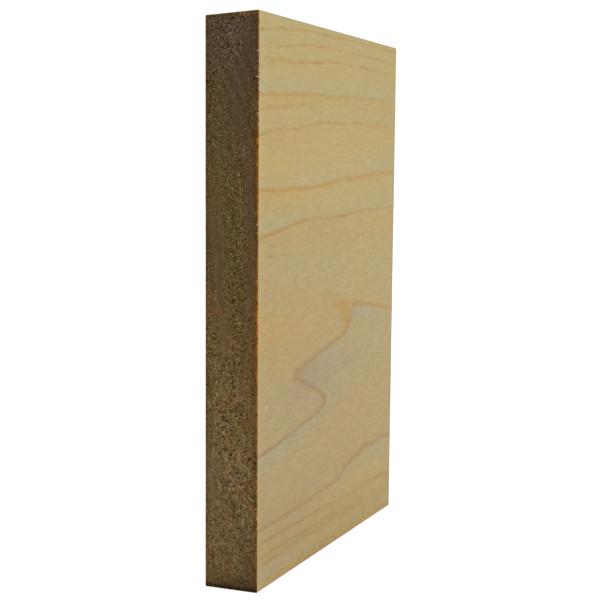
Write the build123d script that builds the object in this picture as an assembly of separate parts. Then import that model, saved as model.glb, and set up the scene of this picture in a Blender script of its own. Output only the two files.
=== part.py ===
from build123d import *
import os

# A short length of square-edged skirting board, planed from one piece of pale solid hardwood.
# It stands on its floor edge, as it does when it is fixed to a wall.
# X runs along the wall, Y from the room into the wall, and Z up.
# The origin is the middle of the floor edge.

# Driving dimensions, in millimetres
board_height = 140.0
board_thickness = 14.0
board_length = 100.0

# The planer leaves the four long arrises crisp, with only their sharpness sanded off.
# The two ends are cross-cut square and stay sharp.
long_arris_radius = 0.3


def moulding_section():
    """The section across the board: a plain rectangle with its four arrises eased."""
    with BuildSketch(Plane.YZ) as section:
        Rectangle(board_thickness, board_height, align=(Align.CENTER, Align.MIN))
        fillet(section.vertices(), long_arris_radius)
    return section.sketch


def skirting_board():
    """The section run through along the wall and cut off square at both ends."""
    return extrude(moulding_section(), amount=board_length / 2, both=True)


os.makedirs("parts", exist_ok=True)
export_step(skirting_board(), "parts/skirting_board.step")
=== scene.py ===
import math

import bpy
import numpy as np
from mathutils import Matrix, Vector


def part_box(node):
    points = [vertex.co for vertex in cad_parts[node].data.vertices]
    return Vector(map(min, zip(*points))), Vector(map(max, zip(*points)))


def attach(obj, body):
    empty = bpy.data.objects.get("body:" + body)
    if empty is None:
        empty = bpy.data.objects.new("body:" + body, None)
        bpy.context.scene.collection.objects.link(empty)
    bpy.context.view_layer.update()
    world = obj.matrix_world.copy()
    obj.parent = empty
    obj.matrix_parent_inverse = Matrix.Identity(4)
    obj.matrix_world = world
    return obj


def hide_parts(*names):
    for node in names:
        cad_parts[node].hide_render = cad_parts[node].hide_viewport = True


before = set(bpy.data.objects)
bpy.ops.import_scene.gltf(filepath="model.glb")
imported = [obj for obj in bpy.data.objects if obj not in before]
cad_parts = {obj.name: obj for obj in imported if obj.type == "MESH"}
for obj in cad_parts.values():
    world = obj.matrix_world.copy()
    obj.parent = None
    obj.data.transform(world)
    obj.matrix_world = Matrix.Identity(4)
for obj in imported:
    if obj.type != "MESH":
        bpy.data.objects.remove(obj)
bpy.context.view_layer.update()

# The board is seen from in front of its left end and a little above its middle, so that the dark
# sawn end takes the left part of the picture and the planed face runs away to the right.
camera = bpy.data.objects.new("camera", bpy.data.cameras.new("camera"))
camera.location = (-0.34489, -0.14075, 0.10131)
camera.rotation_euler = [math.radians(angle) for angle in (84.82, -0.599, -67.362)]
camera.data.lens = 81.92
camera.data.clip_start, camera.data.clip_end = 0.01, 50
bpy.context.scene.collection.objects.link(camera)
bpy.context.scene.camera = camera


# The board is one piece of pale hardwood, planed on its four long sides and cross-cut at both ends.
# The planer's arrises are eased by sanding, and the saw leaves the ends rough and their edges sharp.
class Wire:
    """A value on its way between nodes. Arithmetic on it adds Math nodes to its tree."""

    def __init__(self, tree, socket=None):
        self.tree, self.socket = tree, socket

    def node(self, kind, settings=None, sockets=None, output=0):
        """Adds any node: its settings first, then the values or wires of its sockets."""
        made = self.tree.nodes.new(kind)
        for name, value in (settings or {}).items():
            if name == "stops":
                ends = made.color_ramp.elements
                ends[0].position, ends[1].position = value[0][0], value[-1][0]
                for place, _ in value[1:-1]:
                    ends.new(place)
                for element, (_, colour) in zip(ends, value):
                    element.color = (*colour, 1)
            else:
                setattr(made, name, value)
        for name, value in (sockets or {}).items():
            if isinstance(value, Wire):
                self.tree.links.new(value.socket, made.inputs[name])
            else:
                made.inputs[name].default_value = value
        return Wire(self.tree, made.outputs[output] if made.outputs else None)

    def part(self, output):
        """Another output of the node that this wire comes from."""
        return Wire(self.tree, self.socket.node.outputs[output])

    def maths(self, operation, *values):
        return self.node("ShaderNodeMath", {"operation": operation}, dict(enumerate(values)))

    def __add__(self, other):
        return self.maths("ADD", self, other)

    def __radd__(self, other):
        return self.maths("ADD", other, self)

    def __sub__(self, other):
        return self.maths("SUBTRACT", self, other)

    def __rsub__(self, other):
        return self.maths("SUBTRACT", other, self)

    def __mul__(self, other):
        return self.maths("MULTIPLY", self, other)

    def __rmul__(self, other):
        return self.maths("MULTIPLY", other, self)

    def __truediv__(self, other):
        return self.maths("DIVIDE", self, other)

    def __rtruediv__(self, other):
        return self.maths("DIVIDE", other, self)

    def __pow__(self, other):
        return self.maths("POWER", self, other)

    def __gt__(self, other):
        return self.maths("GREATER_THAN", self, other)

    def __abs__(self):
        return self.maths("ABSOLUTE", self)

    def least(self, other):
        return self.maths("MINIMUM", self, other)

    def most(self, other):
        return self.maths("MAXIMUM", self, other)

    def rise(self, low, high, bottom=0.0, top=1.0):
        """A smooth step from bottom to top as the value goes from low to high."""
        return self.node("ShaderNodeMapRange", {"interpolation_type": "SMOOTHSTEP"},
                         {0: self, 1: low, 2: high, 3: bottom, 4: top})

    def fall(self, low, high):
        """A smooth step from 1 down to 0."""
        return self.rise(low, high, 1.0, 0.0)

    def bell(self, half_width):
        """1 where the value is zero, falling off smoothly on both sides."""
        return self.maths("EXPONENT", (self * self) * (-1 / half_width ** 2))

    def noise(self, stretch, detail=2.0, roughness=0.5, shift=0.0, twist=0.0):
        """Noise on a position in mm, with stretch features per mm along x, y and z."""
        place = self.node("ShaderNodeVectorMath", {"operation": "MULTIPLY_ADD"},
                          {0: self, 1: stretch, 2: (shift, shift, shift)})
        return self.node("ShaderNodeTexNoise", {"noise_dimensions": "3D", "normalize": True},
                         {"Vector": place, "Scale": 1.0, "Detail": detail, "Roughness": roughness,
                          "Distortion": twist})

    def tinted(self, tint, amount):
        """This colour turned towards a tint as far as amount says, and away from it below 0."""
        return self.node("ShaderNodeMix", {"data_type": "RGBA", "blend_type": "MULTIPLY",
                                           "clamp_factor": False},
                         {0: amount, 6: self, 7: (*tint, 1)}, output=2)

    def scaled(self, amount):
        """This colour made lighter or darker by a factor."""
        return self.node("ShaderNodeVectorMath", {"operation": "SCALE"}, {0: self, "Scale": amount})

    def between(self, first, second):
        """The colour that lies between two as far as this value says."""
        return self.node("ShaderNodeMix", {"data_type": "RGBA"},
                         {0: self, 6: (*first, 1), 7: (*second, 1)}, output=2)

    def split(self):
        """The x, y and z of this place."""
        made = self.node("ShaderNodeSeparateXYZ", {}, {0: self})
        return made, made.part(1), made.part(2)


low, high = (np.array(corner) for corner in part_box("skirting_board"))
board_size = high - low
arris_radius = 0.0003
saw_roughness = 0.00008
# The top edge falls this much from the show face to the wall face, and the left end is this much
# further right at the floor than at the top. Both are small errors of the real sample.
top_fall = 0.0008
end_lean = 0.00136
# The same sizes in mm, because the marks on the wood are measured in mm.
mm_per_m = 1000
long_mm, thick_mm, high_mm = (float(size) for size in np.round(board_size * mm_per_m))
half_long, half_thick = long_mm / 2, thick_mm / 2
fall_slope = top_fall * mm_per_m / thick_mm
lean_share = end_lean * mm_per_m / long_mm


def geometry_tree(name, inputs):
    """An empty Geometry Nodes tree with these inputs, and the wire and identifier of each."""
    tree = bpy.data.node_groups.new(name, "GeometryNodeTree")
    names = {}
    for label, kind in inputs.items():
        names[label] = tree.interface.new_socket(label, in_out="INPUT", socket_type=kind).identifier
    tree.interface.new_socket("Geometry", in_out="OUTPUT", socket_type="NodeSocketGeometry")
    given = tree.nodes.new("NodeGroupInput")
    return tree, {label: Wire(tree, given.outputs[label]) for label in inputs}, names


def finish_tree(tree, geometry):
    """Joins the finished geometry to the tree's output."""
    tree.links.new(geometry.socket, tree.nodes.new("NodeGroupOutput").inputs[0])


def plain_mesh(piece, tree, names, values):
    """Runs a tree on a piece with these inputs, and leaves the piece as a plain mesh."""
    modifier = piece.modifiers.new("shape", "NODES")
    modifier.node_group = tree
    for label, value in values.items():
        modifier[names[label]] = value
    whole = piece.evaluated_get(bpy.context.evaluated_depsgraph_get())
    made = bpy.data.meshes.new_from_object(whole)
    piece.modifiers.remove(modifier)
    piece.data = made
    made.name = piece.name
    return made


planed_wood = bpy.data.materials.new("planed_wood")
sawn_end = bpy.data.materials.new("sawn_end")

board_tree, given, names = geometry_tree("planed_board", {
    "Length": "NodeSocketFloat", "Thickness": "NodeSocketFloat", "Height": "NodeSocketFloat",
    "Arris Radius": "NodeSocketFloat", "Top Fall": "NodeSocketFloat", "End Lean": "NodeSocketFloat",
    "Saw Roughness": "NodeSocketFloat",
    "Long Grain": "NodeSocketMaterial", "End Grain": "NodeSocketMaterial"})
tools = Wire(board_tree)
cells_long, cells_thick, cells_high, cells_in_arris = 125, 28, 232, 2
block = tools.node("GeometryNodeMeshCube", {}, {
    "Size": (2.0, 2.0, 2.0), "Vertices X": cells_long + 1, "Vertices Y": cells_thick + 1,
    "Vertices Z": cells_high + 1})
start_x, start_y, start_z = tools.node("GeometryNodeInputPosition").split()


def to_edge(place, half, radius, count):
    """Moves grid lines so that two rows of cells fit in the arris and the rest share the face."""
    border = cells_in_arris * 2 / count
    inward = 1 - abs(place)
    depth = (inward.least(border) * (radius / border)
             + (inward - border).most(0.0) * ((half - radius) / (1 - border)))
    return place.maths("SIGN", place) * (half - depth)


radius = given["Arris Radius"]
half_y, half_z = given["Thickness"] / 2, given["Height"] / 2
flat_y = to_edge(start_y, half_y, radius, cells_thick)
flat_z = to_edge(start_z, half_z, radius, cells_high)
inner_y = flat_y.least(half_y - radius).most(radius - half_y)
inner_z = flat_z.least(half_z - radius).most(radius - half_z)
reach_y, reach_z = flat_y - inner_y, flat_z - inner_z
reach = (reach_y * reach_y + reach_z * reach_z) ** 0.5
pull = (radius / reach.most(1e-9)).least(1.0)
board_y, board_z = inner_y + reach_y * pull, inner_z + reach_z * pull


def slanting(y, z):
    """A place on an end, measured across and along the slanting path of the saw teeth."""
    steep, flat = 0.894, 0.447
    return y * steep - z * flat, y * flat + z * steep


# The saw teeth leave shallow slanting scores on the ends.
across, along = slanting(board_y, board_z)
score = tools.node("ShaderNodeCombineXYZ", {}, {
    0: across * mm_per_m * 1.1, 1: along * mm_per_m * 0.09, 2: start_x * 7})
scored = tools.node("ShaderNodeTexNoise", {"noise_dimensions": "3D"}, {
    "Vector": score, "Scale": 1.0, "Detail": 2.0, "Roughness": 0.6})
at_end = abs(start_x) > 0.999
board_x = start_x * (given["Length"] / 2 - at_end * scored * given["Saw Roughness"])
# The saw ran a shade out of square at the left end, and cut it shorter towards the floor.
leftward = 0.5 - start_x * 0.5
board_x = board_x + given["End Lean"] * leftward * (half_z - board_z) / given["Height"]
# The top edge was planed a shade out of square, and falls towards the wall.
fallen = 1 - given["Top Fall"] * (board_y + half_y) / (given["Thickness"] * given["Height"])
placed = tools.node("GeometryNodeSetPosition", {}, {
    "Geometry": block, "Position": tools.node("ShaderNodeCombineXYZ", {}, {
        0: board_x, 1: board_y, 2: (board_z + half_z) * fallen})})
# Light runs smoothly over the eased arrises, and breaks at the sharp edges of the saw cuts, where
# faces meet at more than 0.9 radians.
smooth = tools.node("GeometryNodeSetShadeSmooth", {"domain": "FACE"}, {"Geometry": placed})
sharp = tools.node("GeometryNodeSetShadeSmooth", {"domain": "EDGE"}, {
    "Geometry": smooth, "Selection": tools.node("GeometryNodeInputMeshEdgeAngle") > 0.9,
    "Shade Smooth": False})
facing, *_ = tools.node("GeometryNodeInputNormal").split()
long_grain = tools.node("GeometryNodeSetMaterial", {}, {
    "Geometry": tools.node("GeometryNodeRealizeInstances", {}, {"Geometry": sharp}),
    "Material": given["Long Grain"]})
finish_tree(board_tree, tools.node("GeometryNodeSetMaterial", {}, {
    "Geometry": long_grain, "Selection": abs(facing) > 0.7, "Material": given["End Grain"]}))

board = bpy.data.objects.new("planed_board", bpy.data.meshes.new("planed_board"))
bpy.context.scene.collection.objects.link(board)
board_mesh = plain_mesh(board, board_tree, names, {
    "Length": float(board_size[0]), "Thickness": float(board_size[1]),
    "Height": float(board_size[2]), "Arris Radius": arris_radius, "Top Fall": top_fall,
    "End Lean": end_lean, "Saw Roughness": saw_roughness,
    "Long Grain": planed_wood, "End Grain": sawn_end})

# The growth rings on the show face, outward from the heart of the figure, up and then down.
# Each is a line of points: hundredths of the length from the left end, mm below the top edge,
# half width in mm and strength. After the points comes how brown the line is, from orange at 0
# to umber at 1, how warm the wood is inside it and how bleached it is outside it, each of them
# at the left and at the right end.
rings_up = [
    ([(-2, 54.1, .5, 1.15), (4, 53.1, .52, 1.15), (13, 52, .55, 1.2), (20, 50.9, .55, 1.15),
      (29, 49.9, .5, 1), (40, 49.7, .5, .9), (50, 49.6, .5, .9), (63, 48.9, .52, .9),
      (77, 48.1, .55, .75), (90, 47.7, .55, .55), (102, 47.5, .5, .4)],
     (0.25, 0.2), (1.0, 0.5), (1.4, 1.0)),
    ([(-2, 42.6, .65, .8), (4, 42, .72, 1.0), (11, 42.2, .8, .95), (20, 41.8, .7, .9),
      (29, 41.7, .65, .9), (40, 41.2, .7, 1.0), (50, 39.9, .7, .85), (67, 38.8, .75, .85),
      (80, 37.9, .8, .8), (90, 37.5, .75, .62), (102, 37.3, .7, .35)],
     (0.05, 0.05), (0.9, 0.8), (1.3, 1.0)),
    ([(-2, 29.7, .38, 1.1), (3, 28.6, .38, 1.1), (8, 27.7, .36, .9), (20, 26.9, .33, .6),
      (31, 25.6, .33, .8), (40, 24.7, .35, 1), (46, 24.5, .35, 1.1), (57, 24.1, .33, .8),
      (65, 23.8, .35, .4), (77, 23.5, .4, .5), (87, 23.5, .45, .35), (102, 23.7, .4, .25)],
     (0.25, 0.4), (0.3, 0.6), (1.1, 0.8)),
    ([(-2, 23.1, .45, .45), (10, 22.2, .45, .65), (16, 21.7, .45, .75), (24, 20.8, .4, .75),
      (32, 20.4, .4, .5), (42, 20.1, .45, .25), (70, 19.7, .5, .2), (102, 19.4, .5, .15)],
     (0.25, 0.3), (0.0, 0.0), (0.0, 0.0)),
    ([(-2, 19.8, .6, .7), (5, 19.3, .6, .7), (20, 18.4, .6, .7), (32, 17.8, .6, .65),
      (47, 17.5, .65, .65), (60, 17, .65, .6), (80, 16.6, .65, .5), (102, 16.4, .6, .35)],
     (0.15, 0.2), (1.6, 1.3), (2.0, 1.6)),
    ([(-2, 10.8, .5, .3), (6, 10.7, .5, .5), (20, 10.5, .5, .6), (28, 10, .5, 1.0), (38, 9.4, .45, 1.0),
      (44, 8.5, .42, .65), (55, 8.2, .4, .7), (65, 8.3, .4, .45), (72, 8, .4, .85), (85, 8.2, .4, .55),
      (102, 7.9, .4, .35)],
     (0.2, 0.3), (0.3, 0.3), (0.4, 0.3)),
    ([(-2, 8.5, .3, .3), (10, 7.4, .33, .5), (18, 6.8, .33, .6), (24, 6, .33, .6), (32, 5.4, .33, .75),
      (43, 5, .33, .7), (62, 4.9, .33, .6), (102, 4.7, .33, .4)],
     (0.0, 0.0), (0.0, 0.0), (0.5, 0.3)),
    ([(-2, 4.7, .33, .6), (3, 4.1, .33, .8), (8, 3.7, .33, .65), (13, 3.1, .33, .6),
      (18, 2.9, .33, .65), (25, 2.3, .33, .8), (33, 1.9, .36, .75), (50, 1.7, .36, 1.05),
      (60, 1.6, .33, .8), (75, 1.5, .33, .65), (102, 1.5, .33, .75)],
     (0.15, 0.0), (0.0, 0.0), (0.3, 0.0))]
rings_down = [
    ([(102, 78.8, .5, .65), (96, 78.2, .5, .65), (88, 77, .5, .75), (81, 75.8, .55, .95),
      (73, 74.9, .6, 1.15), (67, 74.9, .75, 1.1), (64.4, 75.6, .9, .75), (63.6, 77, 1.1, .6),
      (62.9, 79.2, 1.1, .65), (60.7, 81.2, .9, 1.1), (57.1, 82.5, .75, 1.05), (50.1, 83.9, .75, 1),
      (40.1, 85.6, .78, .95), (31.1, 87.2, .8, .9), (25.7, 88.4, .95, 1.05), (23.2, 89.5, 1.1, 1.05),
      (26.2, 90.8, .95, 1), (32.2, 93, .75, 1.05), (38.2, 94.9, .65, .95), (42.8, 97.2, .85, 1.05),
      (44.4, 99.2, 1.0, 1.25), (41.1, 100.8, .6, 1), (34, 102.1, .5, 1.05), (24, 103.6, .48, 1.1),
      (12, 105.2, .48, 1.15), (4, 106.2, .48, 1.15), (-2, 106.9, .48, 1.05)],
     (0.78, 0.0), (0.2, 1.6), (1.5, 0.9)),
    ([(102, 117.5, .7, .85), (92, 116.9, .75, .95), (85, 117.5, .75, .9), (77, 116.9, .75, 1.05),
      (71, 118.2, .75, 1.15), (63, 119.8, .7, 1.1), (56, 122, .65, .85), (48, 123.3, .6, .75),
      (38, 123.5, .5, .9), (28, 124.2, .5, .9), (15, 124.6, .5, 1.0), (-2, 124.9, .5, 1)],
     (0.9, 0.35), (0.1, 0.8), (0.6, 1.0)),
    ([(102, 129.8, .8, .9), (82, 128.7, .7, .5), (65, 129.2, .6, .45), (50, 128.5, .5, .5),
      (27, 128.3, .45, .8), (9, 128.3, .45, .8), (-2, 128.6, .45, .6)],
     (0.55, 0.6), (0.0, 0.8), (0.0, 0.0)),
    ([(102, 131.9, .6, .05), (70, 131.8, .6, .12), (50, 132.2, .6, .3), (30, 131.7, .55, .65),
      (13, 131.6, .5, .65), (-2, 131.9, .45, .7)],
     (0.5, 0.4), (0.0, 0.0), (0.0, 0.0)),
    ([(102, 134.1, .9, .35), (70, 133.6, .9, .22), (50, 133.4, .8, .3), (30, 133.1, .6, .6),
      (13, 133.5, .5, .6), (4, 133.9, .45, .6), (-2, 134.2, .45, .5)],
     (0.75, 0.9), (0.0, 0.0), (1.1, 0.2))]
# In mm, how far the rings are apart through the thickness of the board, how wide the wood inside
# the innermost ring counts, and how wide the outermost ring is, which no line closes.
ring_depth, heart_span, last_width = 2.5, 30.0, 6
# How far a ring bleaches the wood outside it and warms the wood inside it.
bleach_reach, warm_reach = 2.0, 1.6


def smooth_line(points, steps=6):
    """Close points on a smooth line through the given ones: x, z, half width and strength."""
    p = np.array([(x - half_long, high_mm - below, *look) for x, below, *look in points], float)
    p = np.vstack([2 * p[0] - p[1], p, 2 * p[-1] - p[-2]])
    t = np.linspace(0, 1, steps, endpoint=False)[:, None]
    spans = [0.5 * (2 * b + (c - a) * t + (2 * a - 5 * b + 4 * c - d) * t ** 2
                    + (3 * b - a - 3 * c + d) * t ** 3) for a, b, c, d in zip(p, p[1:], p[2:], p[3:])]
    return np.vstack(spans + [p[-2]])


def nearest_on(line, places):
    """For each place the distance in mm to the line, and the line's half width and strength there."""
    best, look = np.full(len(places), 1e9), np.zeros((len(places), 2))
    for corner, step in zip(line, np.diff(line, axis=0)):
        away = places - corner[:2]
        share = np.clip(away @ step[:2] / (step[:2] @ step[:2]), 0, 1)
        length = np.hypot(*(away - share[:, None] * step[:2]).T)
        nearer = length < best
        best[nearer] = length[nearer]
        look[nearer] = corner[2:] + share[nearer, None] * step[2:]
    return best, look


def beside(away, looks, reach):
    """How much a ring changes the wood at this distance from it, less where the ring is faint."""
    return np.exp(-away / reach) * (0.4 + 0.6 * looks[:, 1])


def beyond(line, places, way):
    """True where a place is further from the heart than the line, going up (1) or down (-1)."""
    outside = np.zeros(len(places), bool)
    for (x0, z0), (x1, z1) in zip(line[:, :2], line[1:, :2]):
        level = z0 + (places[:, 0] - x0) * (z1 - z0) / ((x1 - x0) or 1e-9)
        over = (places[:, 0] >= min(x0, x1)) & (places[:, 0] < max(x0, x1))
        outside ^= over & (way * (places[:, 1] - level) > 0)
    return outside


corners = np.zeros(len(board_mesh.vertices) * 3)
board_mesh.vertices.foreach_get("co", corners)
corners = corners.reshape(-1, 3) * mm_per_m
# Marks on the wood are placed along it in hundredths of its length at their height, so that they
# keep to the leaning end.
corners[:, 0] = half_long - (half_long - corners[:, 0]) / (
    1 - lean_share * (1 - corners[:, 2] / high_mm))
# Each ring is worked out once for all the points behind one spot of the show face.
face_end = half_long - 0.05
face_places = np.stack([np.clip(corners[:, 0], -face_end, face_end), corners[:, 2]], 1)
face_places, same = np.unique(np.round(face_places, 3), axis=0, return_inverse=True)
same = same.ravel()
ring = np.zeros(len(face_places))
gap = np.full(len(face_places), heart_span)
traits = np.zeros((len(face_places), 3))
sides = np.zeros((len(face_places), 2))
rightward = np.clip(face_places[:, 0] / long_mm + 0.5, 0, 1)
innermost = []
for way, lines in ((1, rings_up), (-1, rings_down)):
    routes = [smooth_line(points) for points, *_ in lines]
    found = [nearest_on(route, face_places) for route in routes]
    shades, warmths, bleaches = (
        [left + (right - left) * rightward for left, right in ends]
        for ends in zip(*[line[1:] for line in lines]))
    looks = [np.column_stack([look, shade]) for (_, look), shade in zip(found, shades)]
    away = [length for length, _ in found]
    passed = np.array([beyond(route, face_places, way) for route in routes]).sum(0)
    for count in range(1, len(lines) + 1):
        here = passed == count
        inner = away[count - 1]
        outer = away[count] if count < len(lines) else np.maximum(last_width - inner, 0.5)
        share = inner / (inner + outer)
        ring[here], gap[here] = (count + share)[here], (inner + outer)[here]
        chosen = np.where(share[:, None] < 0.5, looks[count - 1], looks[min(count, len(lines) - 1)])
        traits[here] = chosen[here]
        bleached = bleaches[count - 1] * beside(inner, looks[count - 1], bleach_reach)
        warmed = np.zeros(len(inner))
        if count < len(lines):
            warmed = warmths[count] * beside(outer, looks[count], warm_reach)
        sides[here] = np.stack([warmed, bleached], 1)[here]
    innermost.append((away[0], looks[0]))
    sides[:, 0] += (passed == 0) * warmths[0] * beside(away[0], looks[0], warm_reach)
# Inside the innermost ring the nearer of its two lines counts, with a soft change between them.
heart = ring == 0
(up_away, up_look), (down_away, down_look) = innermost
nearer = -2 * np.log(np.exp(-up_away / 2) + np.exp(-down_away / 2))
ring[heart] = 1 - np.clip(nearer[heart], 0, heart_span - 1) / heart_span
traits[heart] = np.where((up_away < down_away)[:, None], up_look, down_look)[heart]

# Deeper in the board the rings lie further out, because the heart of the tree is behind it. There
# each ring has a width, strength and colour of its own.
depth = corners[:, 1] + half_thick
ring_at, gap_at, traits_at = ring[same] - depth / ring_depth, gap[same], traits[same]
behind = depth >= 0.5
number = np.round(ring_at[behind])
traits_at[behind] = np.stack([0.38 + 0.1 * np.cos(number * 1.7), 0.6 + 0.25 * np.sin(number * 2.4),
                              0.5 + 0.3 * np.sin(number)], 1)
# On the ends and on the two long edges the rings are cut aslant, so they stand closer together.
border = 0.2
aslant = behind & ((np.abs(corners[:, 0]) > half_long - border)
                   | (np.abs(corners[:, 2] - high_mm / 2) > high_mm / 2 - border))
gap_at[aslant] = 1 / np.hypot(1 / gap_at, 1 / ring_depth)[aslant]


def soft_patches(patches, across, down):
    """The sum of soft leaning ovals: place across and down, half sizes, slope and amount."""
    total = np.zeros(len(across))
    for middle, below, half_across, half_down, slope, amount in patches:
        level = down - below - slope * (across - middle)
        total += amount * np.exp(-((across - middle) / half_across) ** 2 - (level / half_down) ** 2)
    return total


# Soft patches on the show face, in hundredths of the length from the left end and mm below the
# top edge. Warm wood is above 0 and blue-grey wood below it.
along, below_top = corners[:, 0] + half_long, high_mm - corners[:, 2]
warmth = soft_patches([
    (14, 76.5, 27, 6, 0.0, 1.1), (3, 78, 10, 4.5, 0.0, 0.4), (38, 77, 10, 4, 0, 0.45),
    (88, 52.5, 15, 2.4, 0.0, 1.0), (45, 53, 24, 1.8, -0.05, 0.6), (82, 26.5, 24, 2.3, 0.0, 0.8),
    (62, 62, 9, 3, 0.0, 0.4), (85, 19, 30, 1.6, -0.03, 0.5), (14, 20.4, 26, 1.6, -0.06, 0.6),
    (35, 31, 60, 5, -0.04, 0.55), (54, 118.5, 6, 1.6, 0.1, 0.9), (78, 96, 17, 2, 0.05, 0.3),
    (76, 103, 12, 2.5, 0.0, 0.4), (55, 110, 18, 4, 0.0, 0.25), (52, 139.3, 60, 1.6, 0.0, 1.0),
    (60, 127, 40, 3, 0.0, 0.45), (60, 132, 60, 2.5, 0.0, 0.25), (10, 44.6, 18, 2.6, -0.02, 0.7),
    (60, 44, 30, 2.5, -0.05, 0.3), (22, 53.4, 12, 1.3, -0.1, 0.5), (92, 67, 10, 4, 0.0, -0.2),
    (60, 24, 60, 2.5, -0.02, 0.3), (50, 10, 40, 6, 0.0, 0.35), (8, 87, 10, 4, 0.0, 0.3),
    (40, 87.5, 17, 4.2, -0.12, -0.9), (77, 78.6, 14, 2.6, 0.1, -1.1), (50, 98, 7, 3.4, 0.1, -1.0),
    (20, 94, 24, 5, 0, -0.45), (12, 107.6, 20, 2.6, -0.12, -0.8), (55, 92, 14, 5, 0, -0.4),
    (25, 62, 30, 4, 0.0, -0.3), (55, 64, 30, 4, 0.0, -0.25), (86, 119, 12, 1.2, -0.02, -0.5),
    (12, 136.2, 15, 1.5, 0.0, -1.0), (85, 34.6, 20, 1.3, -0.03, -0.8), (74, 13.6, 34, 1.3, -0.03, -0.6),
    (10, 16.4, 16, 1, -0.05, -0.6), (90, 45, 22, 1.2, 0.0, -0.5), (8, 49.6, 12, 1.6, -0.1, -0.5),
    (50, 2.4, 60, 1.2, 0, -0.3), (80, 87, 26, 5, 0, -0.45), (75, 95, 30, 4, 0, -0.3),
    (18, 102, 22, 4, -0.1, -0.35), (50, 134, 70, 4, 0, 0.45), (14, 27, 26, 6, 0, 0.35),
    (8, 39, 15, 5, 0, 0.3), (5, 4, 14, 4, 0, -0.25), (28, 89.5, 8, 2.5, 0, 0.4),
    (84, 125, 16, 3, 0, 0.3), (16, 86, 16, 3.5, 0, 0.4), (85, 85, 20, 4, 0, -0.35),
    (50, 95, 8, 4, 0, -0.3), (28, 103.5, 12, 3.5, -0.1, -0.45), (66, 104, 10, 4, 0, 0.35),
    (38, 75, 6, 4, 0, -0.4), (50, 133, 70, 6, 0, 0.3)],
    along, below_top)
# Lilac wood above 0, green-yellow wood below it.
pink = soft_patches([
    (46, 89, 15, 4, -0.1, 0.85), (28, 97, 16, 4.5, 0.1, 0.65), (66.5, 77, 2.2, 3, 0, 1.0),
    (30, 89.6, 7, 2.2, 0, 0.7), (20, 54.4, 14, 1.4, -0.08, 0.6), (63, 90.5, 9, 1.6, 0, 0.5),
    (16, 132.3, 18, 2, 0, 0.2), (70, 133, 32, 4, 0, -0.6), (18, 77, 24, 4, 0, 0.15),
    (20, 64, 40, 6, 0, 0.35), (62, 106, 16, 5, 0, 0.2), (74, 84.5, 9, 3.4, 0, -0.7),
    (78, 123, 22, 3.4, -0.05, -0.6), (30, 7, 34, 4, 0, -0.4), (88, 30, 14, 3, 0, -0.3),
    (50, 136.4, 40, 1.4, 0, -0.5), (90, 93, 12, 4, 0, -0.4)],
    along, below_top)
# Resin drawn out of the heartwood, where the grain turns steeply into the face.
resin = soft_patches([
    (57, 73.7, 7.5, 0.95, 0.0, 0.9), (59.8, 76.2, 3.8, 2.2, 0.0, 0.7), (61.2, 79, 2.6, 1.8, -0.2, 0.75),
    (54.5, 75.3, 3.4, 1.5, 0.3, 0.45), (48, 71.4, 6, 1.6, 0.05, 0.3)],
    along, below_top)
# Darker above 0, lighter below it: the wood's own darker and lighter spots, and, in the broad patches
# along the floor edge, painted shade where less light reaches the lower face.
shade = soft_patches([
    (92, 6, 32, 12, 0, 0.35), (85, 22, 26, 6, 0, 0.25), (36, 38, 50, 9, 0, -0.35),
    (40, 89.5, 16, 4, -0.1, 0.5), (9, 58.6, 7, 1, 0, 0.5), (9, 134.2, 8, 0.8, 0, 0.6),
    (42, 51.4, 9, 0.8, -0.04, 0.5), (27, 81.3, 6, 1, 0, 0.5), (28, 89.2, 4, 0.8, 0, 0.4),
    (66, 133.5, 8, 0.7, 0, 0.5), (63, 18.9, 9, 0.6, 0, 0.5), (84, 131.7, 12, 0.8, 0, -0.4),
    (70, 125.2, 16, 1.4, 0, -0.5), (66, 72.7, 4, 0.7, 0, -0.5), (50, 133, 80, 8, 0, 0.22),
    (50, 5, 80, 8, 0, 0.1), (60, 98, 60, 14, 0, 0.1), (58, 85.4, 6, 0.9, 0, -0.5),
    (22, 94, 16, 5.5, 0, 0.35), (63, 90.5, 8, 1.2, 0, 0.45), (46, 131.9, 38, 1.5, 0, 0.45),
    (72, 132.6, 22, 1.1, 0, 0.35), (30, 89.6, 7, 2.2, 0, 0.4), (43, 95, 12, 5, 0, 0.45),
    (22, 122, 30, 4, 0, 0.5), (64, 86, 8, 4.5, 0, 0.25), (68, 77, 6, 4, 0, 0.25),
    (14, 127, 16, 3, 0, 0.2), (50, 117, 20, 5, 0, 0.25), (92, 128, 10, 4, 0, -0.3),
    (50, 133.5, 60, 4, 0, 0.15), (60, 138.6, 50, 1.6, 0, 0.55), (66, 136.5, 30, 1.2, 0, 0.35),
    (78, 123.5, 22, 3.2, -0.05, -0.2), (68, 93, 14, 8, 0, 0.12), (92, 32, 12, 8, 0, 0.25),
    (90, 22, 14, 5, 0, 0.15), (40, 103, 20, 8, 0, 0.12), (12, 84, 12, 5, 0, 0.15),
    (96, 125, 8, 6, 0, -0.15), (40, 55, 60, 3, 0, 0.25)],
    along, below_top)

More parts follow.
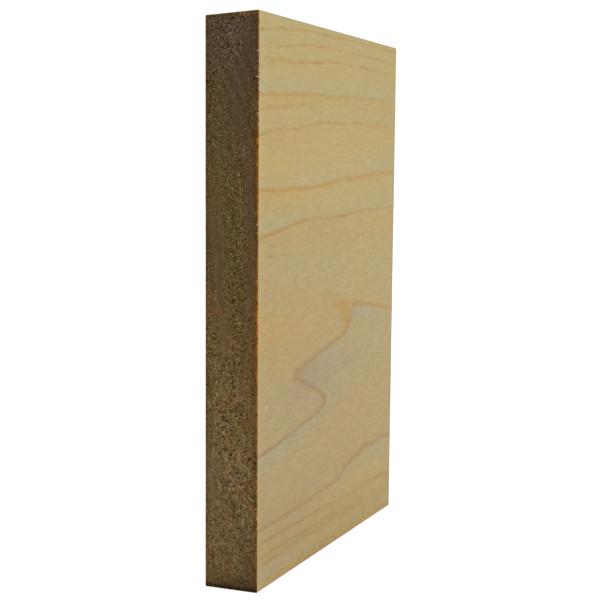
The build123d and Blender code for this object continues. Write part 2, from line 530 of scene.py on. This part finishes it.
# How much the saw has torn the end grain open, in mm from the wall face and below the top edge.
from_wall = half_thick - corners[:, 1]
torn = 0.6 + soft_patches([
    (6.5, 6, 4.5, 6, 0, 0.5), (2, 21, 2.5, 9, 0, 0.45), (12, 22, 2, 8, 0, 0.15),
    (7.9, 52, 2.5, 18, 0, 0.45), (8.3, 77, 2.5, 7, 0, 0.35), (1.8, 82, 2.2, 14, 0, 0.3),
    (6, 95, 3, 11, 0, 0.35), (6.6, 106, 2.5, 2.5, 0, 0.5), (11.5, 115, 2.6, 8, 0, 0.4),
    (6, 113, 2.5, 5, 0, 0.25), (7, 126, 7, 8, 0, 0.1), (8.3, 20, 2.6, 9, 0, -0.4),
    (11.5, 6, 2.5, 6, 0, -0.3), (12.6, 33, 0.9, 6, 0, -0.25), (2.8, 48, 2.6, 8, 0, -0.3),
    (3.8, 66, 1.5, 13, 0, -0.4), (5.6, 77, 1.5, 8, 0, -0.35), (12.2, 58, 1.6, 22, 0, -0.3),
    (2.2, 111, 2.4, 8, 0, -0.35)],
    from_wall, below_top)
# Darker end grain above 0, lighter end grain below it.
end_shade = soft_patches([
    (11, 45, 1.6, 60, 0, 0.7), (13, 114, 1.6, 8, 0, 1.2), (12, 134, 3, 6, 0, 1.6),
    (12.5, 15, 2, 15, 0, 0.6), (12.3, 52, 1, 20, 0, 0.5), (3.8, 62, 2.4, 60, 0, -0.8),
    (6, 112, 2, 8, 0, -0.6), (2.5, 104, 1.6, 5, 0, -1.6), (4, 90, 3.5, 14, 0, -0.8),
    (3, 10, 2.4, 12, 0, -0.6), (9, 5, 1.2, 5, 0, -0.8), (5, 75, 1.2, 6, 0, -0.9),
    (1, 22, 1.2, 8, 0, 0.8), (1, 62, 1.2, 8, 0, 0.4), (7, 74, 1, 5, 0, 0.8), (7, 2, 3, 5, 0, 0.5),
    (7, 136, 12, 5, 0, 0.5), (11, 118, 4, 7, 0, 0.5), (1, 14, 1.6, 8, 0, 0.4), (1, 104, 1.6, 8, 0, 0.5),
    (8, 93, 5, 6, 0, -0.4), (7, 62, 20, 90, 0, 0.12), (0.8, 22, 1, 8, 0, 0.5), (0.8, 95, 1, 36, 0, 0.4),
    (3, 72, 1.4, 3, 0, 0.5), (7, 76, 1, 3, 0, 0.5), (4.6, 106, 1.2, 3, 0, 0.5),
    (13.4, 118, 0.9, 12, 0, 0.9), (13.3, 131, 1.1, 9, 0, 1.4), (1, 24, 1.4, 12, 0, 0.4)],
    from_wall, below_top)
# Lilac-brown end grain above 0, olive below it.
end_hue = soft_patches([
    (8.6, 20, 2.2, 8, 0.05, 0.9), (12.3, 50, 0.9, 20, 0, 1.0), (2, 108, 2.5, 11, 0, 0.9),
    (8, 4, 8, 6, 0, 0.3), (4.7, 75, 1.6, 18, 0, 0.9), (3.4, 53, 2, 12, 0, 0.5),
    (9.5, 76, 2.5, 9, 0, -0.35), (9, 52, 2, 10, 0, -0.5), (13.2, 32, 1, 7, 0, -1.2),
    (7.5, 103, 2.5, 6, 0, -0.6), (9, 14, 3, 8, 0, 0.3), (13, 24, 1.2, 6, 0, -0.5),
    (4, 66, 1.4, 14, 0, 0.25), (6, 40, 5, 12, 0, -0.5), (10, 78, 4, 8, 0, -0.5),
    (11.4, 117, 1.8, 6, 0, -1.0), (8.4, 73.5, 0.7, 1.5, 0, -2.0), (5.4, 102, 1.5, 3, 0, -0.6),
    (3, 84, 3, 12, 0, -0.1), (9, 85, 3, 6, 0, 0.6), (13.2, 131, 1.2, 10, 0, -0.6),
    (1, 108, 1.2, 10, 0, 0.6), (1, 22, 1.5, 10, 0, -0.5)],
    from_wall, below_top)
# Redder end grain above 0, greener below it.
end_blush = soft_patches([
    (10, 20, 5, 9, 0, 0.45), (0.6, 19, 1, 7, 0, 0.6), (1.5, 112, 3, 18, 0, -0.65),
    (6.5, 118, 4, 12, 0, -0.45), (5, 80, 1.2, 22, 0, -0.45), (9.5, 82, 2, 12, 0, 0.4),
    (7, 106, 9, 3, 0, -0.35), (13.6, 18, 0.8, 12, 0, 0.4), (5, 64, 1.2, 6, 0, -0.4),
    (13.4, 62, 0.8, 8, 0, 0.4), (13.5, 136, 1, 4, 0, 0.4), (0.6, 137, 1, 3, 0, -0.6),
    (8.2, 21, 1.8, 7, 0, 0.4)],
    from_wall, below_top)
# How brightly the torn fibres behind the show face catch the light.
rim_glow = 0.55 + soft_patches([
    (14, 31, 50, 6, 0, 0.6), (14, 46, 50, 5, 0, 0.4), (14, 61, 50, 4, 0, 0.2), (14, 122, 50, 3, 0, 0.3),
    (14, 75, 50, 12, 0, 0.4), (14, 8, 50, 5, 0, 0.1), (14, 16, 50, 5, 0, -0.2),
    (14, 116, 50, 6, 0, -0.15), (14, 106, 50, 4, 0, -0.15), (14, 132, 50, 7, 0, -0.3),
    (14, 139, 50, 3, 0, -0.3)],
    from_wall, below_top)


def keep_on_points(mesh, **kept):
    """Stores one number a point under each name, for the materials, or three as a vector."""
    for name, values in kept.items():
        values = np.asarray(values, np.float32)
        kind, field = ("FLOAT", "value") if values.ndim == 1 else ("FLOAT_VECTOR", "vector")
        mesh.attributes.new(name, kind, "POINT").data.foreach_set(field, values.ravel())


# What shows on the face fades out within 2, 3 or 4 mm behind it.
fast, even, slow = (np.exp(-depth / fade) for fade in (2, 3, 4))
keep_on_points(
    board_mesh, ring=ring_at, gap=gap_at, half_width=traits_at[:, 0], strength=traits_at[:, 1],
    brown=traits_at[:, 2], warm_side=sides[same, 0] * even, bleached_side=sides[same, 1] * even,
    warmth=warmth * slow, pink=pink * slow, resin=resin * fast, shade=shade * slow,
    torn=np.clip(torn, 0.3, 1.3), end_shade=end_shade, end_hue=end_hue, end_blush=end_blush,
    rim_glow=rim_glow)


def empty_tree(owner):
    """Empties the node tree of a material or the world and gives its wire maker."""
    owner.use_nodes = True
    owner.node_tree.nodes.clear()
    return Wire(owner.node_tree)


def start_material(material):
    """Gives a material's wire maker, its Principled shader and the place in mm."""
    tools = empty_tree(material)
    shader = tools.node("ShaderNodeBsdfPrincipled")
    tools.node("ShaderNodeOutputMaterial", {}, {0: shader})
    place = tools.node("ShaderNodeVectorMath", {"operation": "SCALE"}, {
        0: tools.node("ShaderNodeTexCoord", output=3), "Scale": mm_per_m})
    return tools, shader.socket.node, place


def kept(tools, name):
    """A number stored on the mesh's points."""
    return tools.node("ShaderNodeAttribute", {"attribute_name": name}, output=2)


def feed(shader, sockets):
    """Joins wires or plain values to a shader's sockets."""
    for name, value in sockets.items():
        if isinstance(value, Wire):
            value.tree.links.new(value.socket, shader.inputs[name])
        else:
            shader.inputs[name].default_value = value


tools, shader, place = start_material(planed_wood)
x, y, from_floor = place.split()
gap, brown = kept(tools, "gap"), kept(tools, "brown")
# A growth ring shows as a soft line wherever the ring number is whole, and wavers a little.
waver = (place.noise((0.1, 0.7, 0.7), detail=3, shift=3) - 0.5) * 0.55
turn = tools.maths("FRACT", kept(tools, "ring") + waver / gap)
line = (turn * gap).least((1 - turn) * gap) / kept(tools, "half_width")
line = tools.maths("EXPONENT", line * line * -1) * kept(tools, "strength")
line = line * place.noise((0.12, 0.8, 0.8), detail=3, shift=21).rise(0.3, 0.6, 0.8, 1.1)
# The grain is a little quieter near the top.
grain_shown = from_floor.rise(85, 125, 1.0, 0.75)
streaks = place.noise((0.1, 1.3, 1.3), detail=2, shift=13)
fleck = place.noise((0.4, 1.5, 1.5), detail=1)
pores = place.noise((0.7, 2.8, 2.8), detail=1, shift=9)
cloud = place.noise((0.05, 0.22, 0.22), detail=3, shift=5)
flicker = place.noise((0.15, 0.6, 0.6), detail=2, shift=61)
blotch = place.noise((0.2, 0.8, 0.8), detail=2, shift=91)

# Patches of warm, pink, bleached and resinous wood come first, then the rings, then the fine grain.
# The base colour is darker towards the floor: painted shade, for the light from above that reaches the
# lower face less.
wood = from_floor.rise(0, high_mm).between((0.436, 0.321, 0.143), (0.478, 0.366, 0.146))
wood = wood.tinted((1.05, 0.975, 0.84), kept(tools, "warmth") + (cloud - 0.5) * 0.5)
wood = wood.tinted((1.025, 0.955, 1.06), kept(tools, "pink"))
wood = wood.tinted((1.03, 0.965, 0.84), kept(tools, "warm_side"))
wood = wood.tinted((0.955, 1.02, 1.16), kept(tools, "bleached_side"))
wood = wood.tinted((1.0, 0.78, 0.44), kept(tools, "resin"))
# Darker and lighter spots of the wood, and painted shade along the floor edge.
wood = wood.scaled(0.992 - kept(tools, "shade") * 0.1)
wood = wood.tinted((1.0, 0.78, 0.5), line * (1 - brown))
wood = wood.tinted((0.82, 0.75, 0.66), line * brown)
wood = wood.tinted((1.01, 0.985, 0.9), (flicker - 0.5) * 4)
wood = wood.tinted((1.012, 0.985, 1.01), (blotch - 0.5) * 3)
wood = wood.tinted((0.976, 0.968, 0.962), streaks.rise(0.4, 0.62) * grain_shown)
wood = wood.tinted((0.965, 0.957, 0.95), fleck.rise(0.4, 0.62) * grain_shown)
wood = wood.tinted((0.965, 0.96, 0.945), pores.rise(0.5, 0.7) * grain_shown)
from_right = half_long - x
from_left = long_mm - from_right / (1 - (high_mm - from_floor) * (lean_share / high_mm))
# Short resin flecks, a bruise and a bare speck: hundredths of the length from the left, mm below
# the top, half sizes, slope and tint.
for at, below, wide, tall, slope, tint in [
        (14.6, 2.9, 1.6, 0.22, -0.02, (0.86, 0.82, 0.7)), (1.7, 4.3, 0.7, 0.26, 0, (0.68, 0.54, 0.34)),
        (45, 24.3, 1.2, 0.24, -0.03, (0.84, 0.74, 0.55)), (65, 23.6, 1.6, 0.26, 0, (0.94, 0.9, 0.8)),
        (6.5, 58.1, 1.6, 0.35, 0, (0.78, 0.78, 0.78)), (71.5, 119, 1.3, 0.4, 0.35, (0.88, 0.86, 0.84)),
        (5.3, 95, 1.0, 0.26, 0, (1.22, 1.28, 1.5)), (22, 33.2, 3, 0.3, 0, (0.95, 0.94, 0.92))]:
    away = from_floor + (from_left * slope + (below - high_mm - at * slope))
    wood = wood.tinted(tint, away.bell(tall) * (from_left - at).bell(wide))
# The wood is bleached near the left end, chipped along the upper part of that arris and greyer at
# the right end. The eased top and bottom arrises are darkened with painted shade.
from_top = high_mm - from_floor - (y + half_thick) * fall_slope
wood = wood.tinted((1.065, 1.075, 1.075), from_left.fall(0.2, 5.0))
wood = wood.tinted((0.985, 1.01, 1.07), from_left.fall(0.4, 2.2))
ragged = place.noise((0.3, 0.3, 0.9), detail=3, roughness=0.7, shift=71).rise(0.52, 0.6)
ragged = ragged * (from_top - 15).bell(13) * from_left.fall(0.3, 1.1)
wood = wood.tinted((0.45, 0.38, 0.3), ragged)
wood = wood.tinted((0.87, 0.92, 1.0), from_right.fall(0.5, 1.8))
# Painted shade: the eased top and bottom arrises darkened against the light they catch.
wood = wood.tinted((0.7, 0.7, 0.66), from_floor.least(from_top).fall(0.15, 0.45))
# Along the floor edge the wood is bruised and rubbed, in short dark and yellow dashes.
dashes = place.noise((0.45, 2.2, 2.2), detail=2, shift=81)
bruised = from_floor.fall(0.8, 3.8) * from_left.rise(0, 25, 0.2, 1.0)
wood = wood.tinted((0.84, 0.75, 0.46), bruised * dashes.rise(0.5, 0.62))
wood = wood.tinted((1.04, 1.0, 0.62), bruised * dashes.rise(0.5, 0.38))
feed(shader, {
    "Base Color": wood, "Roughness": fleck.rise(0.3, 0.7, 0.52, 0.62), "Specular IOR Level": 0.3,
    "Normal": tools.node("ShaderNodeBump", {}, {
        "Strength": 0.1, "Distance": 0.0002, "Height": fleck * 0.6 + pores * 0.4})})

tools, shader, place = start_material(sawn_end)
x, y, from_floor = place.split()
front, back = y + half_thick, half_thick - y
from_top = high_mm - from_floor - front * fall_slope
torn = kept(tools, "torn")
turn = tools.maths("FRACT", kept(tools, "ring"))
# The torn fibres lie in mottles, slanting rows and streaks, upright streaks, fine grit and hooks.
across, along = slanting(y, from_floor)
flow = tools.node("ShaderNodeCombineXYZ", {}, {0: across, 1: along, 2: x * 0.3})
mottle = place.noise((0.4, 2.0, 2.0), detail=2, roughness=0.65, twist=0.8)
grit = place.noise((0.4, 3.4, 3.4), detail=1, shift=17)
hooks = place.noise((0.4, 1.2, 1.2), detail=1, shift=27, twist=1.8)
rows = flow.noise((1.9, 0.75, 1.0), detail=2, shift=37, twist=0.4)
streaks = flow.noise((0.7, 0.07, 1.0), detail=3, roughness=0.6, shift=7)
uprights = place.noise((0.3, 1.1, 0.04), detail=2, shift=43)
pit = tools.node("ShaderNodeTexVoronoi", {"feature": "F1"}, {
    "Vector": tools.node("ShaderNodeVectorMath", {"operation": "MULTIPLY_ADD"}, {
        0: tools.node("ShaderNodeTexNoise", {}, {"Vector": place, "Scale": 2.0}, output=1),
        1: (0, 0.7, 0.7), 2: place}), "Scale": 0.8})
chance, *_ = pit.part(1).split()
# The end grain is darker than the face, partly its own colour and partly painted shade, because the end
# is turned away from the lamp. Towards the floor it is lighter: painted light bounced up from the white
# table.
end = from_floor.rise(0, 150).between((0.256, 0.16, 0.063), (0.147, 0.096, 0.049))
end = end.tinted((1.0, 0.975, 0.8), from_top.rise(5, 18) * from_floor.rise(30, 50))
end = end.tinted((0.9, 0.86, 0.8), turn.rise(0.1, 0.9) * 0.5)
end = end.scaled(streaks.rise(0.35, 0.65, 1.08, 0.9) * uprights.rise(0.3, 0.7, 1.08, 0.92))
end = end.scaled(1 - kept(tools, "end_shade") * 0.1)
end = end.tinted((0.985, 0.98, 1.15), kept(tools, "end_hue"))
end = end.tinted((1.02, 0.965, 1.03), kept(tools, "end_blush"))
# Fibres that stand up catch the light and torn ones leave shadow. The rows are strongest near the
# floor and the mottles near the top. Red changes least from light to shadow and blue most.
mottle_depth = from_floor.rise(20, 110, 4.4, 6.1)
row_depth = from_floor.rise(20, 60, 1.0, 0.2) * 2.5
grit_depth, hook_depth, shadow = 2.1, 9, 0.07
hooked = (0.5 - abs(hooks - 0.5) * hook_depth).most(0.0)
fibres = ((mottle - 0.5) * mottle_depth + (rows - 0.5) * row_depth + (grit - 0.5) * grit_depth
          + hooked - shadow) * torn
brightest = 0.96
fibres = fibres.least(brightest)
lights = tools.node("ShaderNodeCombineXYZ", {}, {
    channel: tools.maths("EXPONENT", fibres * contrast)
    for channel, contrast in enumerate((0.8, 1.04, 1.25))})
end = tools.node("ShaderNodeVectorMath", {"operation": "MULTIPLY"}, {0: end, 1: lights})
end = end.tinted((0.99, 1.01, 1.06), torn.fall(0.3, 0.6))
pitted = pit.fall(0.17, 0.33) * (chance > 0.58) * torn
# The largest hollows, where the saw pulled whole fibres out: mm from the wall and below the top,
# and half sizes.
bend_y, bend_z = (place.noise((0.3, 1.6, 1.6), detail=1, shift=shift) for shift in (67, 73))
bent_back, bent_down = back + (bend_y - 0.5) * 0.8, from_top + (bend_z - 0.5) * 0.8
hollow = 0.0
for across, below, wide, tall in [
        (6.1, 2.5, .4, .25), (6.9, 1.3, .2, .25), (9.8, 2.3, .25, .25), (5.9, 7.1, .35, .2),
        (8.9, 7.4, .3, .25), (7.7, 5.1, .2, .3), (3.5, 6.8, .3, .25), (4.7, 8.1, .2, .3),
        (7.1, 9.4, .2, .25), (2.2, 16.4, .3, .35), (0.4, 15.7, .35, .4), (12.8, 15.7, .3, .35),
        (3.2, 13.4, .25, .2), (9.7, 49.9, .2, .3), (6.1, 55.9, .2, .25), (8.0, 57.9, .18, .35),
        (6.2, 64.9, .3, .35), (7.3, 64.3, .25, .35), (8.5, 66.2, .3, .3), (7.7, 68.1, .3, .25),
        (10.8, 67.7, .25, .25), (11.5, 73.1, .35, .2), (3.7, 95.4, .25, .25), (5.7, 96.9, .25, .25),
        (7.8, 104.7, .35, .3), (6.8, 106.0, .45, .35), (4.2, 105.5, .25, .25), (3.1, 103.6, .25, .25),
        (11.9, 106.9, .25, .25), (13.4, 107.9, .3, .25), (12.3, 112.3, .3, .25), (7.9, 113.5, .3, .25),
        (1.6, 122.6, .3, .25), (8.9, 111.5, .2, .2)]:
    off = ((bent_back - across) * (1 / wide)) ** 2 + ((bent_down - below) * (1 / tall)) ** 2
    hollow = off.fall(0.3, 1.8).most(hollow)
# The hollows and the fine pits are darkened with painted shade.
end = end.tinted((0.2, 0.14, 0.1), hollow)
end = end.tinted((0.24, 0.19, 0.15), pitted)
reddish = place.noise((0.4, 0.9, 0.9), detail=1, shift=51)
yellowish = place.noise((0.4, 0.7, 0.7), detail=1, shift=57)
end = end.tinted((1.08, 0.92, 0.98), (reddish - 0.5) * torn.rise(0.4, 1.0, 3.0, 4.8))
end = end.tinted((1.02, 1.02, 0.8), (yellowish - 0.5) * torn.rise(0.4, 1.0, 2.4, 3.8))
# Behind the show face the fibres are frayed: a brown band, then a bright orange one where light
# comes through them, then a pale rim. The wall edge and the top edge are rubbed brown with a
# lighter rim. The floor edge and the lowest few mm are darkened with painted shade, where the
# board stands on the table.
fray = place.noise((0.3, 0.3, 1.1), detail=3, roughness=0.65, shift=31)
glow = place.noise((0.1, 0.1, 0.12), detail=2, shift=41)
end = end.tinted((0.96, 0.88, 0.8), front.fall(1.0, 2.4))
rim_light = kept(tools, "rim_glow")
brown_band = (glow.rise(0.35, 0.65, 0.6, 1.3) + (fray - 0.5) * 1.2) * rim_light.rise(0.5, 1.0, 0.9, 1.5)
end = end.tinted((0.97, 0.8, 0.64), (front / brown_band.most(0.2)).fall(0.5, 1.2))
bright_band = (glow.rise(0.35, 0.65, 0.4, 0.7) + (fray - 0.5) * 0.8) * rim_light.rise(0.5, 1.0, 0.9, 1.6)
lit = place.noise((0.2, 0.2, 0.5), detail=3, shift=47).rise(0.36, 0.6, 0.25, 1.25) * rim_light
end = end.tinted((2.1, 1.4, 0.45), (front / bright_band.most(0.1)).fall(0.6, 1.1) * lit)
end = end.tinted((1.4, 1.8, 2.2), (front + (fray - 0.5) * 0.3).fall(0.14, 0.46))
end = end.tinted((0.98, 0.76, 0.5), (back - fray * 0.4).fall(0.2, 0.9))
end = end.tinted((1.35, 1.4, 1.45), back.fall(0.2, 0.45) * from_top.rise(20, 110, 1.0, 0.2))
frayed_top = from_top - fray * 0.4
end = end.tinted((0.98, 0.8, 0.5), frayed_top.fall(0.1, 0.6))
end = end.tinted((2.0, 1.5, 0.6), (frayed_top - back * 0.02).fall(0.1, 0.5) * back.rise(5, 11))
# Painted contact shadow along the floor edge, and painted shade over the lowest 5 mm.
end = end.tinted((0.3, 0.22, 0.17), (from_floor - (fray - 0.5)).fall(0.2, 1.6))
end = end.tinted((0.62, 0.58, 0.52), from_floor.fall(1.0, 5.0) * back.rise(0.5, 3.5, 0.3, 1.0))
feed(shader, {
    "Base Color": end, "Roughness": 0.88, "Specular IOR Level": 0.12,
    "Normal": tools.node("ShaderNodeBump", {}, {
        "Strength": 0.5, "Distance": 0.0003, "Height": fibres * 0.5 - pitted.most(hollow)})})
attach(board, "root")
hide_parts("skirting_board")

# Where the saw broke out through the show face it lifted slivers of pale wood, which still hang
# on the sharp arris of each end and bend over the end grain.
sliver_wood = bpy.data.materials.new("sliver_wood")
sliver_tree, given, names = geometry_tree("arris_slivers", {
    "Roots": "NodeSocketGeometry", "Sliver Length": "NodeSocketFloat", "Sliver Width": "NodeSocketFloat",
    "Seed": "NodeSocketInt", "Wood": "NodeSocketMaterial"})
tools = Wire(sliver_tree)
sliver = tools.node("GeometryNodeMeshCone", {}, {
    "Vertices": 4, "Radius Top": 0.06, "Radius Bottom": 0.5, "Depth": 1.0})
way = tools.node("GeometryNodeInputNamedAttribute", {"data_type": "FLOAT_VECTOR"}, {"Name": "way"})
much = tools.node("GeometryNodeInputNamedAttribute", {"data_type": "FLOAT_VECTOR"}, {"Name": "much"})
long_share, wide_share, _ = much.split()
vary = tools.node("FunctionNodeRandomValue", {"data_type": "FLOAT"}, {
    2: 0.8, 3: 1.25, "Seed": given["Seed"]}, output=1)
wide = given["Sliver Width"] * wide_share * vary
size = tools.node("ShaderNodeCombineXYZ", {}, {
    0: wide, 1: wide * 0.6, 2: given["Sliver Length"] * long_share})
leaning = tools.node("FunctionNodeAlignRotationToVector", {"axis": "Z"}, {"Vector": way})
stood = tools.node("GeometryNodeInstanceOnPoints", {}, {
    "Points": tools.node("GeometryNodeMeshToPoints", {}, {"Mesh": given["Roots"]}),
    "Instance": sliver, "Rotation": leaning, "Scale": size})
finish_tree(sliver_tree, tools.node("GeometryNodeSetMaterial", {}, {
    "Geometry": tools.node("GeometryNodeRealizeInstances", {}, {"Geometry": stood}),
    "Material": given["Wood"]}))

# Where they hang: end (left is -1), mm below the top, length and width shares, lean down or up.
hung = [(-1, 9.2, 1.3, 2.0, .5), (-1, 11.8, .7, .9, -.2), (-1, 14.2, .7, 1, .4), (-1, 15.5, 1.5, 1.5, 0),
        (-1, 16.9, .8, .9, .5), (-1, 21.9, .9, .9, -.2), (-1, 24, 1.4, 1.4, .1), (-1, 26.5, .9, 1.6, .4),
        (-1, 33.2, .8, .8, 0), (-1, 50.1, 1.2, 2.1, .5), (-1, 52.1, 1.5, .7, .1), (-1, 57.5, .6, .8, .2),
        (-1, 79, .5, .8, .2), (-1, 121.6, 1.1, 2.0, .5), (1, 18, 1, 1, .3), (1, 21.5, .8, .8, -.3),
        (1, 47, 1.1, 1.2, .2), (1, 66, .7, .9, .4), (1, 93, 1, 1, -.2), (1, 118, .8, 1.1, .3)]
# Sixteen finer ones hang along the upper part of each end.
spare = np.random.default_rng(11)
for end_side in (-1, 1):
    for below in np.sort(spare.uniform(2, 62, 16)):
        hung.append((end_side, below, *spare.uniform((.25, .4), (.5, .75)), spare.uniform(-.5, .5)))
hung = np.array(hung)
end_side, below, _, _, lean = hung.T
# Each one stands just clear of the show face, and its root follows the leaning end.
clear = 0.00005
ways = np.column_stack([end_side * 0.25, np.full(len(hung), 0.9), -lean])
root_x = end_side * board_size[0] / 2 + (end_side < 0) * end_lean * below / high_mm
places = np.column_stack([root_x, np.full(len(hung), low[1] - clear), high[2] - below / mm_per_m])
roots = bpy.data.meshes.new("arris_slivers")
roots.from_pydata(places.tolist(), [], [])
keep_on_points(roots, way=ways, much=hung[:, 2:5])
slivers = bpy.data.objects.new("arris_slivers", roots)
bpy.context.scene.collection.objects.link(slivers)
plain_mesh(slivers, sliver_tree, names, {
    "Sliver Length": 0.00058, "Sliver Width": 0.00032, "Seed": 5, "Wood": sliver_wood})

tools, shader, place = start_material(sliver_wood)
pale = place.noise((2.0, 2.0, 2.0), detail=2, shift=4)
feed(shader, {
    "Base Color": pale.rise(0.4, 0.6).between((0.55, 0.45, 0.27), (0.76, 0.67, 0.46)),
    "Roughness": 0.75, "Specular IOR Level": 0.2})
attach(slivers, "root")


def watched(tools):
    """1 for rays that come from the eye, a reflection or clear glass, and 0 for all others."""
    path = tools.node("ShaderNodeLightPath")
    return path.most(path.part("Is Glossy Ray")).most(path.part("Is Transmission Ray"))


# A white table, white to the eye and to reflections, which still takes the board's soft shadow.
bpy.ops.mesh.primitive_circle_add(vertices=64, radius=4, fill_type="NGON")
floor = bpy.context.object
floor.name = "white_table"
table_top = bpy.data.materials.new("white_table")
floor.data.materials.append(table_top)
tools = empty_tree(table_top)
away = tools.node("ShaderNodeVectorMath", {"operation": "LENGTH"}, {
    0: tools.node("ShaderNodeTexCoord", output=3)}, output=1)
glow = tools.node("ShaderNodeEmission", {}, {
    "Color": (1, 1, 1, 1), "Strength": away.rise(0.2, 0.6, 0.9, 1.0)})
matt = tools.node("ShaderNodeBsdfDiffuse", {}, {"Color": (0.26, 0.26, 0.26, 1)})
seen = tools.node("ShaderNodeAddShader", {}, {0: glow, 1: matt})
lighting = tools.node("ShaderNodeBsdfDiffuse", {}, {"Color": (0.8, 0.8, 0.8, 1)})
tools.node("ShaderNodeOutputMaterial", {}, {0: tools.node("ShaderNodeMixShader", {}, {
    0: watched(tools), 1: lighting, 2: seen})})

# Soft studio light: an even white room, and a broad lamp high in front and to the right.
world = bpy.data.worlds.new("studio")
bpy.context.scene.world = world
tools = empty_tree(world)
room_light = 0.5
tools.node("ShaderNodeOutputWorld", {}, {0: tools.node("ShaderNodeBackground", {}, {
    "Color": (1, 1, 1, 1), "Strength": watched(tools) * (1 - room_light) + room_light})})
key = bpy.data.objects.new("key", bpy.data.lights.new("key", "AREA"))
key.data.size, key.data.energy = 0.9, 12.5
lamp_place, lamp_target = np.array((0.2, -1.2, 1.0)), np.array((0, 0, 0.08))
way = lamp_target - lamp_place
key.location = lamp_place
key.rotation_euler = (
    math.atan2(math.hypot(way[0], way[1]), -way[2]), 0, math.atan2(-way[0], way[1]))
bpy.context.scene.collection.objects.link(key)
bpy.context.scene.view_settings.view_transform = "Standard"
